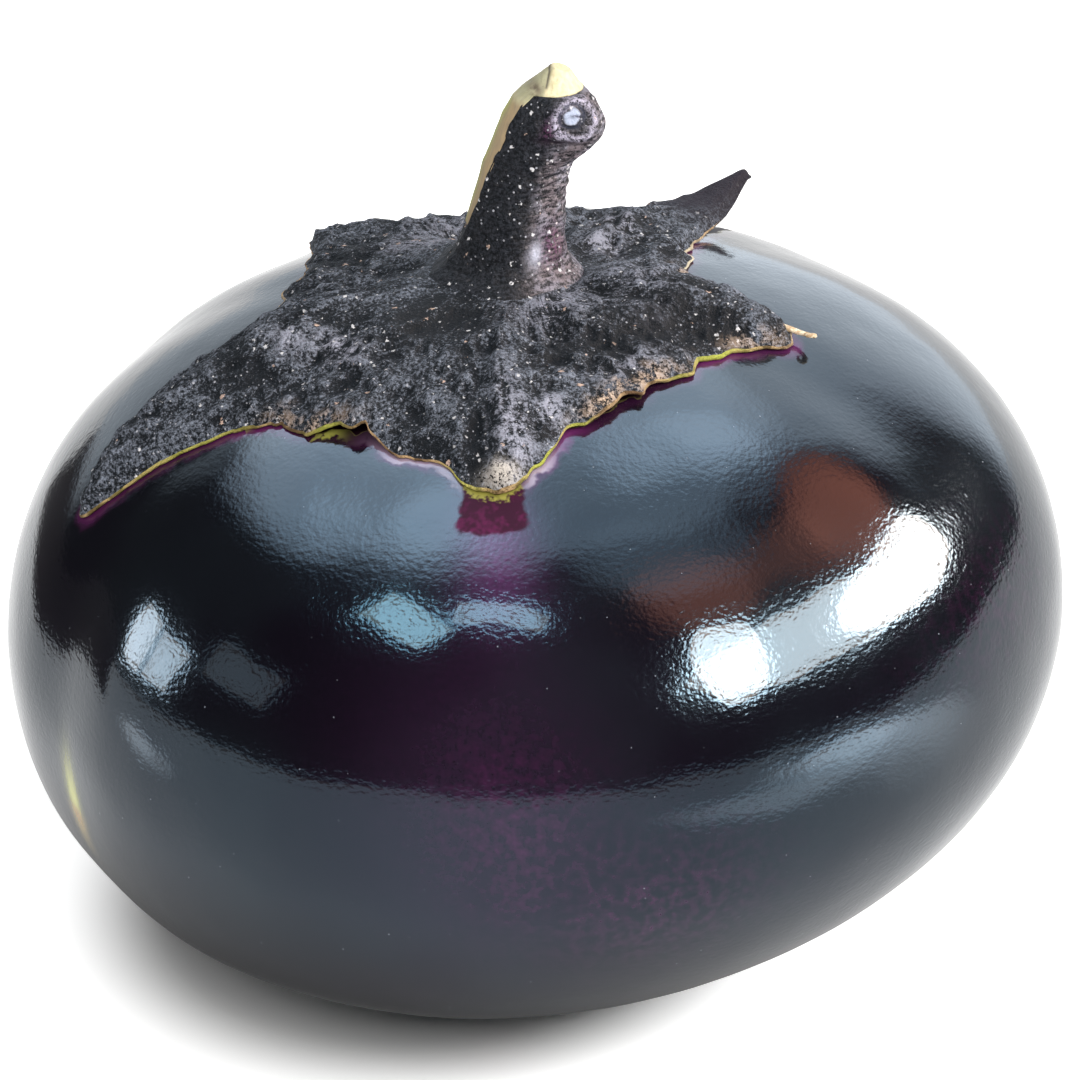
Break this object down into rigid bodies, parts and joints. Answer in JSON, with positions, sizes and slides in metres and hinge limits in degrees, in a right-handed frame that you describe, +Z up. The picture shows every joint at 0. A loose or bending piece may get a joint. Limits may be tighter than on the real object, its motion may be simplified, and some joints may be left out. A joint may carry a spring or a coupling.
{
  "type": "round eggplant",
  "caption": "Round, dark purple eggplant resting on its small flat spot, capped by a lobed leafy calyx with a short leaning stem torn off at its top.",
  "frame": {"origin": "middle of the small flat spot that the fruit rests on", "axes": "+Z up from the flat spot, -Y the front shown in the picture, +X to the right, the way the stem leans"},
  "size_m": [0.1248, 0.125, 0.1077],
  "materials": {
    "skin": "glossy waxy skin, black-purple",
    "calyx": "rough warty leaf, charcoal with pale specks",
    "stem_rind": "rough dark rind with pale specks",
    "bared_wood": "matte, freshly cut, cream and tan"
  },
  "bodies": {
    "root": {"fruit": "skin", "calyx": "calyx", "stem": "stem_rind", "stem_wood": "bared_wood"}
  },
  "joints": []
}
